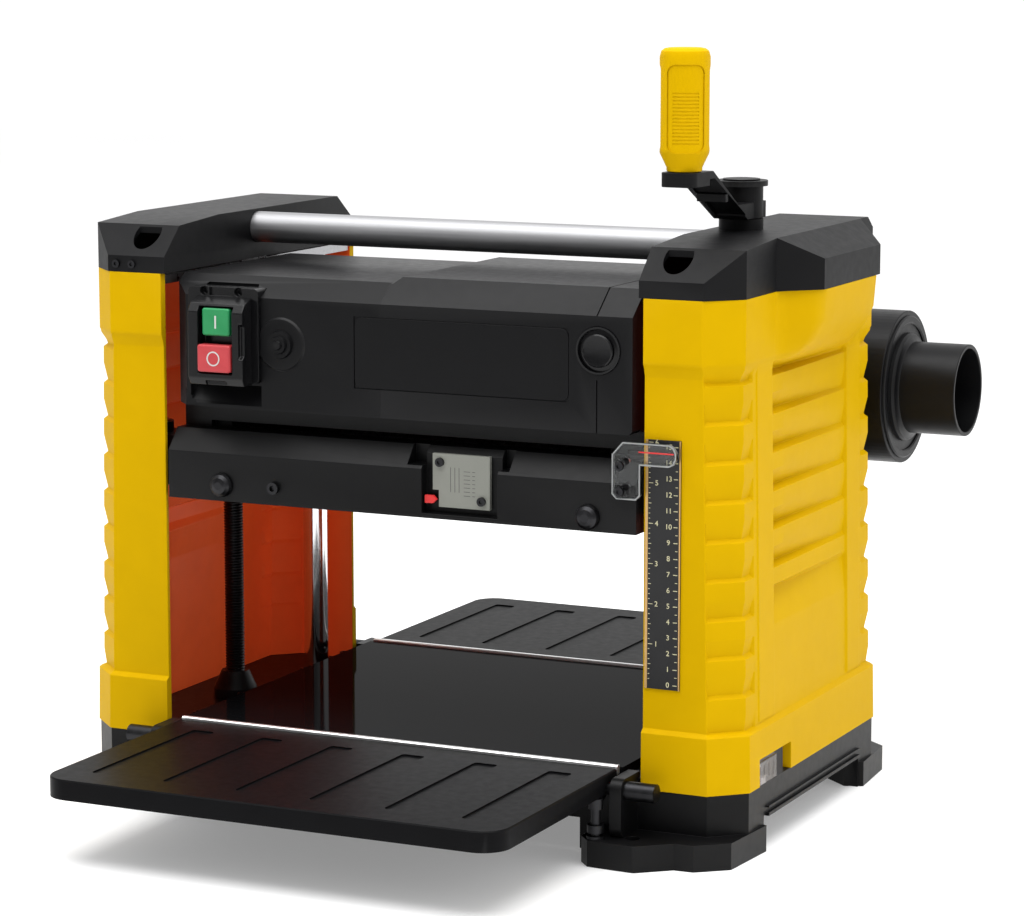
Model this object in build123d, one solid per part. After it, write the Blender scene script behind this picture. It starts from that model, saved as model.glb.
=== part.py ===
from build123d import *
import os
from math import cos, pi, radians, sin

# Benchtop thickness planer. X is to the operator's right, Y runs with the feed
# (front to back) and Z is up. The origin is on the bench surface, at the centre
# of the four bench bolts. Everything is in millimetres.

# ---- driving dimensions ----
OPENING = 344.0            # clear width between the towers
TOWER_DEPTH = 270.0        # front to back
BED_Z = 56.0               # working surface above the bench
SHELL_BOTTOM = 43.0
SHELL_TOP = 352.5
BAND_LOW_TOP = 81.0        # the shell's lower proud band ends here
BAND_HIGH_BOTTOM = 311.0   # and its upper one starts here
BAND_STEP = 3.0
SHELL_WALL = 3.0
DRAFT = 6.0                # how far a tower's side spreads from top to bottom
CAP_TOP = 386.0
CAP_WALL = 3.0

INNER_X = OPENING / 2
FRONT_Y = -TOWER_DEPTH / 2
NARROW_X = 232.0           # side of the tower at its top
WIDE_X = 255.0             # the bulge in that side, under the cap

SCREW_X, SCREW_Y = 188.5, -15.0
SCREW_R = 7.0
COLUMNS = ((194.0, -112.0), (188.0, 103.0))
COLUMN_R = 9.0
RUNNING = 0.05             # radial clearance of a running fit
REACH = 1.0                # how far a cutting tool passes a face

CARRIAGE_Z = 204.5         # underside of the carriage as it stands
CUT_R = 24.0               # knife tip circle
CUT_Z = 226.5
ROLLER_R = 17.0
ROLLER_Y = 58.0
ROLLER_Z = 218.9
CHAMBER_X = 136.0          # inner faces of the plates that hold the cutterhead
MOTOR_Y, MOTOR_Z = -85.0, 314.0
BELT_X = (-161.0, -151.0)
MOTOR_PULLEY_R = 12.0
CUTTER_PULLEY_R = 20.0

TABLE_HALF = 158.0
TABLE_FRONT = -313.0
TABLE_BACK = 322.0
TABLE_GAP = 5.0            # between the bed's end and the table's edge
PIVOT_Y, PIVOT_Z = 152.0, 46.0
PIN_R = 4.0

TUBE_Y, TUBE_Z, TUBE_R = -10.0, 373.5, 10.5
CRANK_RADIUS = 85.0
CRANK_TURN = -3.0          # degrees the arm stands off the -Y direction
HUB_BOTTOM = 393.5
GRIP_BOTTOM = 428.5
GRIP_TOP = 504.4
GRIP_R = 16.6

DUCT_Y, DUCT_Z = 192.0, 261.0
OUTLET_R = 31.75
OUTLET_BORE = 29.0
OUTLET_END = 276.0
DRUM_R = 53.0
DRUM_FLAT = 47.0
DRUM_X = (172.0, 231.0)

BOLT_X, BOLT_Y, BOLT_R = 176.0, 156.0, 4.5
FOOT_H = 17.0


# ---- plain shapes ----
def block(x, y, z):
    """A box from its (low, high) pairs."""
    size = [b - a for a, b in (x, y, z)]
    middle = [(a + b) / 2 for a, b in (x, y, z)]
    return Pos(*middle) * Box(*size)


def along(axis, x, y, z, radius, length):
    """A cylinder that starts at the point and runs in +X, +Y or +Z."""
    turn = {"x": Rot(0, 90, 0), "y": Rot(-90, 0, 0), "z": Rot(0, 0, 0)}[axis]
    up = (Align.CENTER, Align.CENTER, Align.MIN)
    return Pos(x, y, z) * turn * Cylinder(radius, length, align=up)


def ring(axis, x, y, z, radius, bore, length):
    """A tube that starts at the point and runs in +X, +Y or +Z."""
    return along(axis, x, y, z, radius, length) - along(axis, x, y, z, bore, length)


def upright(sketch, z):
    """A plan sketch extruded between two heights."""
    return Pos(0, 0, z[0]) * extrude(sketch, amount=z[1] - z[0], dir=(0, 0, 1))


def across(points, x, inset=0.0):
    """An outline of (y, z) points, extruded along X."""
    sketch = Polygon(*points, align=None)
    if inset:
        sketch = offset(sketch, amount=-inset, kind=Kind.INTERSECTION)
    return extrude(Plane.YZ.offset(x[0]) * sketch, amount=x[1] - x[0], dir=(1, 0, 0))


def lengthwise(points, y, inset=0.0):
    """An outline of (x, z) points, extruded along Y."""
    sketch = Polygon(*points, align=None)
    if inset:
        sketch = offset(sketch, amount=-inset, kind=Kind.INTERSECTION)
    return extrude(Plane.XZ.offset(-y[0]) * sketch, amount=y[1] - y[0], dir=(0, 1, 0))


def spun(points, x=0.0, y=0.0):
    """An outline of (radius, z) points, turned about a vertical axis."""
    face = Plane.XZ * Polygon(*points, align=None)
    return Pos(x, y, 0) * revolve(face, axis=Axis.Z)


def loop(sketch_a, sketch_b):
    """The outline round two discs, such as a belt's."""
    return make_hull([*sketch_a.edges(), *sketch_b.edges()])


def mirrored(shape):
    """The same piece on the other side of the machine."""
    return mirror(shape, about=Plane.YZ)


def both(shape):
    return Compound(children=[*shape.solids(), *mirrored(shape).solids()])


def group(shapes):
    """Separate solids kept together in one node."""
    return Compound(children=[solid for shape in shapes for solid in shape.solids()])


# ---- the towers' plan ----
def cap_points(inner_x):
    """The right-hand tower's plan at its top, bulged at the side."""
    back_y = -FRONT_Y
    return [
        (inner_x, FRONT_Y),
        (212, FRONT_Y),
        (NARROW_X, FRONT_Y + 20),
        (NARROW_X, -64),
        (WIDE_X, -40),
        (WIDE_X, 65),
        (NARROW_X, 90),
        (NARROW_X, back_y - 20),
        (212, back_y),
        (inner_x, back_y),
    ]


def shaft_points(inner_x, z):
    """Its plan lower down, where the side is straight and spreads with the draft."""
    spread = DRAFT * (SHELL_TOP - z) / (SHELL_TOP - SHELL_BOTTOM)
    front = [
        (inner_x, FRONT_Y),
        (211 + spread, FRONT_Y),
        (NARROW_X + spread, FRONT_Y + 20),
    ]
    return front + [(x, -y) for x, y in reversed(front)]


def right_of(plan, inner_x):
    return plan & Pos((inner_x + 300) / 2, 0) * Rectangle(300 - inner_x, 400)


def tower_plan(inset, inner_x=INNER_X):
    """The plan at the top, set in from its outer sides only."""
    plan = Polygon(*cap_points(60.0), align=None)
    if inset:
        plan = offset(plan, amount=-inset, kind=Kind.INTERSECTION)
    return right_of(plan, inner_x)


def tower_shaft(inset, z, inner_x=INNER_X):
    """The drafted part between two heights, set in from its outer sides only."""
    ends = []
    for height in z:
        plan = Polygon(*shaft_points(60.0, height), align=None)
        if inset:
            plan = offset(plan, amount=-inset, kind=Kind.INTERSECTION)
        ends.append(Pos(0, 0, height) * right_of(plan, inner_x))
    return loft([end.face() for end in ends])


def base_plan(inset):
    """The whole machine's plan at the foot, both towers and what joins them."""
    right = shaft_points(0.0, SHELL_BOTTOM)[1:-1]
    left = [(-x, y) for x, y in reversed(right)]
    return offset(Polygon(*right, *left, align=None), amount=-inset, kind=Kind.INTERSECTION)


# ---- base and bed ----
def foot_lobe():
    """The front right foot, which carries a bench bolt and a table stop."""
    outline = [
        (144, -130), (144, -163), (152, -172), (184, -174), (204, -157),
        (217, -156.5), (236, -141), (240, -91), (228, -86), (200, -110),
    ]
    lobe = upright(Polygon(*outline, align=None), (0, FOOT_H))
    edge = lobe.edges().filter_by(Axis.Z).group_by(Axis.Y)[0]
    return fillet(edge, 4)


def hinge_ear():
    """A bracket on the base that holds one table pivot pin."""
    ear = block((162, 170), (-PIVOT_Y - 9, FRONT_Y + 4), (FOOT_H - REACH, 54))
    ear = fillet(ear.edges().filter_by(Axis.X).group_by(Axis.Y)[0], 7)
    return ear - along("x", 160, -PIVOT_Y, PIVOT_Z, PIN_R + 0.02, 12)


def base_casting():
    corner = foot_lobe() + hinge_ear()
    quarter = corner + mirror(corner, about=Plane.XZ)
    base = upright(base_plan(1.0), (0, SHELL_BOTTOM))
    base += block((-INNER_X, INNER_X), (FRONT_Y + 1, -FRONT_Y - 1), (30, 50))
    base -= upright(base_plan(6.0), (-REACH, 37))
    for x in (-124.5, -41.5, 41.5, 124.5):
        base -= block((x - 38.5, x + 38.5), (FRONT_Y + 6, -FRONT_Y - 6), (30, 44))
    base -= block((-260, 260), (-88, 88), (-REACH, 22))
    base -= block((-130, 130), (-140, 140), (-REACH, 20))
    base += quarter
    base += mirrored(quarter)
    for side in (-1, 1):
        for x, y in COLUMNS:
            base += along("z", side * x, y, 27, 14, 12)
            base -= along("z", side * x, y, 30, COLUMN_R, 20)
        base -= along("z", side * SCREW_X, SCREW_Y, 30, 10, 20)
        for y in (-BOLT_Y, BOLT_Y):
            base -= along("z", side * BOLT_X, y, -REACH, BOLT_R, FOOT_H + 2 * REACH)
    return base


def bed_plate():
    return block((-160, 160), (FRONT_Y + 0.3, -FRONT_Y - 0.3), (50, BED_Z))


def bed_edge_strips():
    front = block((-158, 158), (FRONT_Y - 1.2, FRONT_Y + 0.3), (51.5, BED_Z))
    return group([front, mirror(front, about=Plane.XZ)])


def frame_screws():
    """Cap screws along the bed's sides, and two in the left-hand cap's front."""
    bed = [(side * 166, y) for side in (-1, 1) for y in (-105, -45, 45, 105)]
    screws = [along("z", x, y, 50, 3.4, 3.2) - along("z", x, y, 51.6, 1.7, 2) for x, y in bed]
    for x in (-205.5, -193.5):
        head = along("y", x, FRONT_Y - 1.6, 357.8, 2.7, 1.6)
        screws.append(head - along("y", x, FRONT_Y - 2.0, 357.8, 1.2, 1.4))
    return group(screws)


# ---- towers ----
def tower_shell(side):
    shell = tower_shaft(0, (SHELL_BOTTOM, BAND_LOW_TOP))
    shell += tower_shaft(BAND_STEP, (BAND_LOW_TOP, BAND_HIGH_BOTTOM))
    shell += upright(tower_plan(0), (BAND_HIGH_BOTTOM, SHELL_TOP))
    wall = BAND_STEP + SHELL_WALL
    shell -= tower_shaft(wall, (SHELL_BOTTOM - REACH, BAND_HIGH_BOTTOM + wall), INNER_X - 20)
    top_hollow = tower_plan(wall, INNER_X - 20)
    shell -= upright(top_hollow, (BAND_HIGH_BOTTOM + SHELL_WALL, SHELL_TOP + REACH))
    if side < 0:
        return mirrored(shell)
    return shell - block((210, 262), (-98, -43), (SHELL_BOTTOM - REACH, 60.5))


def cap_body(inset):
    """The faceted cap, set in by a wall thickness on its outer faces."""
    front_rise = (382.5 - 363.3) / 20
    roof = [
        (-160, 300),
        (-160, 363.3 - 25 * front_rise),
        (-115, 382.5),
        (-64, CAP_TOP),
        (105, CAP_TOP),
        (160, CAP_TOP - 0.75 * 55),
        (160, 300),
    ]
    eaves = [(120, 300), (120, CAP_TOP), (NARROW_X, CAP_TOP), (275, CAP_TOP - 26.2), (275, 300)]
    inner_x = INNER_X if inset else INNER_X - CAP_WALL
    body = upright(tower_plan(inset, inner_x), (SHELL_TOP, CAP_TOP + 1))
    body &= across(roof, (100, 300), inset)
    return body & lengthwise(eaves, (-200, 200), inset)


def top_cap(side):
    cap = cap_body(0)
    if side > 0:
        cap += along("z", SCREW_X, SCREW_Y, CAP_TOP - 2, 14.3, 9)
    cap -= cap_body(CAP_WALL)
    cap -= along("x", INNER_X - 10, TUBE_Y, TUBE_Z, TUBE_R + 0.4, 16)
    socket = along("z", 189.5, -121, 350, 9.5, 40) & block((170, 210), (-140, -116.5), (340, 400))
    cap -= socket
    if side > 0:
        return cap - along("z", SCREW_X, SCREW_Y, 360, SCREW_R + 0.6, 40)
    return mirrored(cap)


def top_bracket(side):
    """The plate under a cap that ties the columns, the screw and the tube."""
    plate = upright(tower_plan(7.0, INNER_X + 1), (345, 351))
    plate += block((172.4, 177.4), (TUBE_Y - 17, TUBE_Y + 17), (350, 380))
    plate -= along("x", 170, TUBE_Y, TUBE_Z, TUBE_R, 10)
    for x, y in COLUMNS:
        plate -= along("z", x, y, 340, COLUMN_R, 20)
    plate -= along("z", SCREW_X, SCREW_Y, 340, 11, 20)
    return plate if side > 0 else mirrored(plate)


def cross_tube():
    return ring("x", -177.2, TUBE_Y, TUBE_Z, TUBE_R, TUBE_R - 1.6, 354.4)


def guide_columns():
    return both(group([along("z", x, y, 30, COLUMN_R, 320) for x, y in COLUMNS]))


def screw_bearings():
    """Lower bearings with a flared boot, and upper bushes, for both screws."""
    bore = SCREW_R + RUNNING
    boot = [(bore, 32), (10, 32), (10, 43), (15, 43), (15, 50), (9.6, 62), (bore, 62)]
    bush = [(bore, 341), (13, 341), (13, 345), (11, 345), (11, 351), (bore, 351)]
    right = group([spun(boot, SCREW_X, SCREW_Y), spun(bush, SCREW_X, SCREW_Y)])
    return both(right)


def lead_screw(side):
    """The right-hand screw also carries the crank."""
    top = 412.0 if side > 0 else 350.0
    return along("z", side * SCREW_X, SCREW_Y, 14, SCREW_R, top - 14)


def sprocket(side):
    """Ten teeth, keyed to the foot of a lead screw."""
    wheel = along("z", 0, 0, 20, 16, 6) + along("z", 0, 0, 16, 10, 12)
    for tooth in range(10):
        gap = along("z", 17.6, 0, 19, 3.2, 8)
        wheel -= Rot(0, 0, 36 * tooth + 18) * gap
    wheel -= along("z", 0, 0, 15, SCREW_R, 14)
    return Pos(side * SCREW_X, SCREW_Y, 0) * wheel


def drive_chain():
    """The loop that makes both screws turn together."""
    ends = [Pos(side * SCREW_X, SCREW_Y) for side in (-1, 1)]
    outer = loop(*[end * Circle(19.6) for end in ends])
    inner = loop(*[end * Circle(16.4) for end in ends])
    return upright(outer - inner, (20.4, 25.6))


def scale_strip():
    return block((173.5, 197), (FRONT_Y + BAND_STEP - 1, FRONT_Y + BAND_STEP), (108, 265))


def depth_stop():
    """The sliding stop in the window at the foot of the right-hand tower."""
    body = block((224.5, 237.5), (-97.5, -66), (43.3, 58))
    return fillet(body.edges().filter_by(Axis.Z), 2.5)


# ---- crank ----
def turned(shape):
    """Swings a piece drawn along -Y from the screw to where the crank stands."""
    return Pos(SCREW_X, SCREW_Y, 0) * Rot(0, 0, CRANK_TURN) * shape


def crank_arm():
    slope = [
        (12, HUB_BOTTOM), (-16, HUB_BOTTOM), (-62, 419), (-97, 419),
        (-97, 428), (-68, 428), (-30, 404), (12, 404),
    ]
    arm = across(slope, (-12, 12))
    under = [(-20, 390), (-20, 397.5), (-66, 423), (-73, 423), (-73, 410), (-60, 390)]
    arm -= across(under, (-8, 13))
    arm = fillet(arm.edges().filter_by(Axis.Z).group_by(Axis.Y)[0], 6)
    arm += block((-8, 12), (-50, -46), (407, 412))
    arm += along("z", 0, 0, HUB_BOTTOM, 14, 20.5)
    arm -= along("z", 0, 0, HUB_BOTTOM - REACH, SCREW_R, 19.5)
    arm -= along("z", 0, -CRANK_RADIUS, 418, PIN_R, 12)
    return turned(arm)


def crank_hub_disc():
    disc = along("z", 0, 0, 414, 17, 3.4)
    disc += along("z", 0, 0, 417.2, 12, 1.2)
    return turned(disc)


def grip_pin():
    pin = along("z", 0, -CRANK_RADIUS, 419, PIN_R, 76)
    pin += along("z", 0, -CRANK_RADIUS, 495, 7, 2.5)
    return turned(pin)


def crank_grip():
    """A hollow handle that spins on its pin, closed at the top."""
    profile = [
        (PIN_R + RUNNING, GRIP_BOTTOM), (11, GRIP_BOTTOM), (GRIP_R, 438), (GRIP_R, 500),
        (GRIP_R - 3.5, GRIP_TOP), (0, GRIP_TOP), (0, 499), (8, 499), (8, 494.5), (PIN_R + RUNNING, 494.5),
    ]
    return turned(Pos(0, -CRANK_RADIUS, 0) * spun(profile))


# ---- carriage ----
def front_beam():
    """The carriage's front wall, with a sloped facet each side of the gauge."""
    profile = [(-135, CARRIAGE_Z), (-135, 236), (-123, 250), (-106, 250), (-106, CARRIAGE_Z)]
    beam = across(profile, (-168, 168))
    beam -= block((8, 19), (-136, -120), (238, 251))
    beam -= block((72.6, 80), (-136, -120), (238, 251))
    return beam - block((19, 72.6), (-136, -127), (207.5, 251))


def carriage_arm():
    """What reaches into the right-hand tower and rides the columns and screw."""
    arm = block((166, 206), (-124, 116), (216, 244))
    arm -= block((176, 207), (-94, -33), (215, 245))
    arm -= block((176, 207), (3, 85), (215, 245))
    for x, y in (*COLUMNS, (SCREW_X, SCREW_Y)):
        arm += along("z", x, y, 209, 14.5, 42)
    for x, y in COLUMNS:
        arm -= along("z", x, y, 200, 12, 60)
    return arm - along("z", SCREW_X, SCREW_Y, 200, 10, 60)


def carriage_casting():
    body = front_beam()
    body += block((-168, 168), (104, 130), (CARRIAGE_Z, 256))
    body += block((-148, 168), (-112, 130), (254, 266.8))
    body += block((-168, -148), (-112, -98), (250, 266.8))
    for x in ((-168, -164), (164, 168)):
        body += block(x, (-106, 104), (CARRIAGE_Z, 266.8))
    for x in ((-148, -CHAMBER_X), (CHAMBER_X + 2, 150)):
        plate = block(x, (-106, 104), (CARRIAGE_Z, 254))
        plate -= along("x", x[0] - 1, 0, CUT_Z, 17.5, 16)
        for y in (-ROLLER_Y, ROLLER_Y):
            plate -= along("x", x[0] - 1, y, ROLLER_Z, 10, 16)
        plate -= along("x", x[0] - 1, -92, 240, PIN_R, 16)
        body += plate
    body -= block((-130, 130), (100, 131), (231, 251))
    arm = carriage_arm()
    body += arm
    body += mirrored(arm)
    for side in (-1, 1):
        inner = block((side * 168 - 5, side * 168 + 5), (-18, 18), (CARRIAGE_Z - 1, 215))
        body -= inner
    return body


def column_bushes():
    right = group([ring("z", x, y, 208, 12, COLUMN_R + RUNNING, 44) for x, y in COLUMNS])
    return both(right)


def lift_nuts():
    """The nuts that the lead screws run in."""
    bore = SCREW_R + RUNNING
    profile = [(bore, 208.5), (10, 208.5), (10, 251), (13, 251), (13, 255), (bore, 255)]
    return both(spun(profile, SCREW_X, SCREW_Y))


def motor_profile():
    """The motor cover's section, as (y, z) points."""
    return [
        (-135, 266.8), (-135, 340), (-115, 356), (28, 356),
        (68, 342), (90, 312), (90, 266.8),
    ]


def motor_cover(x, closed_end):
    """One half of the motor cover, open below and towards the other half."""
    outer = across(motor_profile(), x)
    inner_x = (x[0] + 3, x[1] + REACH) if closed_end < 0 else (x[0] - REACH, x[1] - 3)
    points = motor_profile()
    inner = across(points, inner_x, 3.0) + across(
        [(-132, 260), (-132, 275), (87, 275), (87, 260)], inner_x
    )
    return outer - inner


def panel_recess():
    return block((-29, 122), (-136, -133.4), (285, 331.5))


def motor_cover_left():
    cover = motor_cover((-165, -10), -1) - panel_recess()
    return cover - along("y", -130, 80, 300, 6.0, 12)


def motor_cover_right():
    cover = motor_cover((-10, 165), 1) - panel_recess()
    return cover - along("y", 142, -136, 318.5, 9, 6)


def name_panel():
    """The blank panel let into the motor cover."""
    panel = block((-28.6, 121.6), (-134.2, -133.4), (285.4, 331.1))
    return fillet(panel.edges().filter_by(Axis.Y), 2)


def brush_caps():
    cap = along("y", 142, -138.2, 318.5, 12.7, 3.2) + along("y", 142, -135.4, 318.5, 8.8, 6)
    slot = block((133, 151), (-139, -137.2), (317.4, 319.6))
    dish = ring("y", -81, -137, 311.5, 15.5, 13, 2) + along("y", -81, -136.2, 311.5, 11, 1.2)
    return group([cap - slot, dish])


def switch_plate():
    plate = block((-149, -97), (-138.5, -135), (282, 340))
    lugs = [block((x - 7, x + 7), (-138.5, -135), (339, 347)) for x in (-139, -107)]
    for lug in lugs:
        plate += lug
    levels = plate.edges().filter_by(Axis.Y).group_by(Axis.Z)
    plate = fillet([*levels[0], *levels[-1]], 2)
    for x in (-139, -107):
        plate -= along("y", x, -140, 342.4, 1.8, 6)
    return plate


def switch_box():
    """A box open at the front, with high cheeks beside the buttons."""
    box = block((-141, -104), (-151, -138.5), (283, 340))
    box -= block((-136.2, -108.8), (-152, -141), (288, 336.5))
    scoop = [(-152, 318), (-147, 322), (-147, 334), (-152, 338)]
    return box - across(scoop, (-142, -103))


def button(z, width, front_y):
    body = block((-122.5 - width / 2, -122.5 + width / 2), (front_y, -144.3), z)
    return fillet(body.edges().filter_by(Axis.Y), 1.2)


def start_button():
    return button((314.6, 334.4), 22.0, -149.5)


def stop_button():
    return button((289.6, 312.4), 25.0, -153.0)


def gauge_plate():
    plate = block((24.7, 65), (-130, -127), (211.6, 246))
    plate -= block((24, 29), (-131, -126), (211, 222.5))
    return plate


def gauge_pointer():
    """The red arrow that the board lifts."""
    arrow = [(20.2, 214), (20.2, 219), (26, 219), (28.4, 216.5), (26, 214)]
    return lengthwise(arrow, (-132.6, -130.3))


def pointer_bracket():
    """A clear window that carries the hairline across the scale."""
    plate = block((153, 197), (-138.8, -136.4), (243, 259))
    plate += block((153, 171), (-138.8, -136.4), (227, 243.5))
    levels = plate.edges().filter_by(Axis.Y).group_by(Axis.Z)
    plate = fillet([*levels[0], *levels[-1]], 2)
    return plate + block((155, 167), (-136.6, -135), (229, 236))


def carriage_screws():
    """The carriage front's domed bolts, and the screws of its gauge and pointer."""
    solids = []
    for x, y, z in ((30, -130, 240.5), (59.5, -130, 217), (158.5, -138.8, 232), (158.5, -138.8, 248)):
        head = along("y", x, y - 2, z, 2.9, 2)
        solids.append(head - along("y", x, y - 2.5, z, 1.4, 1.5))
    for x, z in ((-127.4, 215.3), (135.5, 213.7)):
        dome = spun([(0, 0), (8, 0), (8, 1.5), (7.2, 3.6), (5.2, 5.2), (2.6, 6), (0, 6)])
        solids.append(Pos(x, -135, z) * Rot(90, 0, 0) * dome)
    socket = along("y", -88.4, -138, 216, 4, 3) - along("y", -88.4, -138.5, 216, 2, 2.5)
    return group([*solids, socket])


# ---- drive inside the carriage ----
def motor_stator():
    return ring("x", -20, MOTOR_Y, MOTOR_Z, 36, 26, 130)


def motor_frames():
    """The two end plates that the motor's bearings sit in."""
    plates = []
    for x in (-140, 152):
        plate = block((x, x + 7), (MOTOR_Y - 33, MOTOR_Y + 36), (266.8, 348))
        plates.append(plate - along("x", x - 1, MOTOR_Y, MOTOR_Z, 13, 10))
    for y in (-26, 26):
        cradle = block((-10, 100), (MOTOR_Y + y - 6, MOTOR_Y + y + 6), (266.8, 300))
        plates.append(cradle - along("x", -30, MOTOR_Y, MOTOR_Z, 36, 150))
    return group(plates)


def shaft_bearings():
    """Two for the motor's shaft and two for the cutterhead's."""
    motor = [ring("x", x, MOTOR_Y, MOTOR_Z, 13, 6 + RUNNING, 7) for x in (-140, 152)]
    cutter = [ring("x", x, 0, CUT_Z, 17.5, 8.5 + RUNNING, 12) for x in (-148, CHAMBER_X + 2)]
    return group([*motor, *cutter])


def motor_armature():
    """Shaft, wound core, fan and commutator, which turn as one."""
    body = along("x", -162, MOTOR_Y, MOTOR_Z, 6, 322)
    body += along("x", -15, MOTOR_Y, MOTOR_Z, 25, 120)
    body += along("x", 120, MOTOR_Y, MOTOR_Z, 13, 26)
    body += along("x", -62, MOTOR_Y, MOTOR_Z, 34, 3)
    body += along("x", -62, MOTOR_Y, MOTOR_Z, 12, 20)
    for blade in range(12):
        vane = block((-60, -46), (11, 33), (-0.9, 0.9))
        body += Pos(0, MOTOR_Y, MOTOR_Z) * Rot(30 * blade, 0, 0) * vane
    return body


def motor_pulley():
    wheel = along("x", BELT_X[0], MOTOR_Y, MOTOR_Z, MOTOR_PULLEY_R, BELT_X[1] - BELT_X[0])
    return wheel - along("x", BELT_X[0] - 1, MOTOR_Y, MOTOR_Z, 6, 14)


def drive_belt():
    """The belt from the motor down to the cutterhead."""
    def outline(grow):
        top = Pos(MOTOR_Y, MOTOR_Z) * Circle(MOTOR_PULLEY_R + grow)
        foot = Pos(0, CUT_Z) * Circle(CUTTER_PULLEY_R + grow)
        return loop(top, foot)
    belt = outline(2.8) - outline(0.35)
    width = BELT_X[1] - BELT_X[0] - 1
    return extrude(Plane.YZ.offset(BELT_X[0] + 0.5) * belt, amount=width, dir=(1, 0, 0))


def cutter_pulley():
    wheel = along("x", BELT_X[0], 0, CUT_Z, CUTTER_PULLEY_R, BELT_X[1] - BELT_X[0])
    return wheel - along("x", BELT_X[0] - 1, 0, CUT_Z, 8.5, 14)


def cutterhead():
    """The block that holds two knives, with its shaft ends."""
    body = along("x", -133, 0, CUT_Z, CUT_R - 2, 268)
    for turn in (0, 180):
        seat = block((-140, 140), (4, 40), (12, 30))
        body -= Pos(0, 0, CUT_Z) * Rot(turn, 0, 0) * seat
    body += along("x", BELT_X[0] - 1, 0, CUT_Z, 8.5, 312)
    return body


def cutter_knives():
    blades = []
    for turn in (0, 180):
        blade = block((-132, 134), (4, 19.6), (12, 13.6))
        clamp = block((-132, 134), (4, 15), (13.6, 16))
        blades += [Pos(0, 0, CUT_Z) * Rot(turn, 0, 0) * piece for piece in (blade, clamp)]
    return group(blades)


def feed_roller(y):
    """A roller on its shaft, and the sprocket on the shaft's end."""
    body = along("x", -133, y, ROLLER_Z, ROLLER_R, 268)
    body += along("x", -148, y, ROLLER_Z, 6, 308)
    wheel = ring("x", 152, y, ROLLER_Z, 13, 6, 5)
    return group([body, wheel])


def roller_bushes():
    places = [(x, y) for x in (-148, CHAMBER_X + 2) for y in (-ROLLER_Y, ROLLER_Y)]
    return group([ring("x", x, y, ROLLER_Z, 10, 6 + RUNNING, 12) for x, y in places])


def feed_chain():
    """The loop that turns both rollers alike, in the right-hand end."""
    def outline(radius):
        ends = [Pos(y, ROLLER_Z) * Circle(radius) for y in (-ROLLER_Y, ROLLER_Y)]
        return loop(*ends)
    band = outline(14.2) - outline(13.35)
    return extrude(Plane.YZ.offset(152.3) * band, amount=4.4, dir=(1, 0, 0))


def pawl_rod():
    return along("x", -148, -92, 240, PIN_R, 298)


def kickback_pawls():
    """Fingers that hang in front of the infeed roller."""
    pawls = []
    for count in range(12):
        x = -126.5 + 23 * count
        finger = across([(-95, 205), (-90, 205), (-88.5, 236), (-95.5, 236)], (x - 4, x + 4))
        pawl = finger + along("x", x - 4, -92, 240, 8, 8)
        pawls.append(pawl - along("x", x - 5, -92, 240, PIN_R + RUNNING, 10))
    return group(pawls)


# ---- dust hood and inlet ----
def dust_hood():
    """The scoop behind the cutterhead and the drum that it blows into."""
    hood = block((-150, 150), (130, 138), (226, 272))
    hood += block((-156, DRUM_X[0] + 4), (137, 186), (224, 296))
    hood = hood - block((-147, 147), (129, 141), (229, 269))
    drum = along("x", DRUM_X[0], DUCT_Y, DUCT_Z, DRUM_R, DRUM_X[1] - DRUM_X[0])
    hood = hood + drum
    hood -= block((-153, DRUM_X[0] + 6), (140, 183), (227, 293))
    inside = extrude(RegularPolygon(DRUM_FLAT, 8, major_radius=False), DRUM_X[1] - DRUM_X[0] - 6)
    hood -= Pos(DRUM_X[0] + 3, DUCT_Y, DUCT_Z) * Rot(0, 90, 0) * Rot(0, 0, 22.5) * inside
    return hood - along("x", DRUM_X[1] - 10, DUCT_Y, DUCT_Z, OUTLET_BORE, 20)


def dust_outlet():
    length = OUTLET_END - DRUM_X[1]
    return ring("x", DRUM_X[1], DUCT_Y, DUCT_Z, OUTLET_R, OUTLET_BORE, length)


def cord_gland():
    gland = spun([(3.6, 0), (6, 0), (6, 4), (8.5, 4), (8.5, 9), (5.4, 22), (3.6, 22)])
    return Pos(-130, 86, 300) * Rot(-90, 0, 0) * gland


# ---- tables ----
def folding_table(end_y):
    """A table on the front side, with its far edge at end_y."""
    near_y = FRONT_Y - TABLE_GAP
    table = block((-TABLE_HALF, TABLE_HALF), (end_y, near_y), (43, BED_Z))
    table = fillet(table.edges().filter_by(Axis.Z).group_by(Axis.Y)[0], 18)
    pocket = block((-TABLE_HALF + 4, TABLE_HALF - 4), (end_y + 5, near_y - 4), (42, 52))
    table -= fillet(pocket.edges().filter_by(Axis.Z).group_by(Axis.Y)[0], 14)
    table = chamfer(table.faces().sort_by(Axis.Z)[-1].outer_wire().edges(), 0.8)
    for x in (-100, -50, 0, 50, 100):
        table += block((x - 1.5, x + 1.5), (end_y + 4, near_y - 3), (45, 53))
    for side in (-1, 1):
        low = min(side * 146, side * 154)
        lug = along("x", low, -PIVOT_Y, PIVOT_Z, 8, 8)
        lug += block((low, low + 8), (-PIVOT_Y - 8, -PIVOT_Y + 8), (PIVOT_Z, 53))
        table += lug
        table -= along("x", side * 152 - 10, -PIVOT_Y, PIVOT_Z, PIN_R + RUNNING, 20)
    return table


def infeed_table():
    return folding_table(TABLE_FRONT)


def outfeed_table():
    return mirror(folding_table(-TABLE_BACK), about=Plane.XZ)


def table_pivot_pins():
    pin = along("x", 146.5, -PIVOT_Y, PIVOT_Z, PIN_R, 26)
    pin += along("x", 170.2, -PIVOT_Y, PIVOT_Z, 6, 20)
    front = both(pin)
    return group([front, mirror(front, about=Plane.XZ)])


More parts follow.
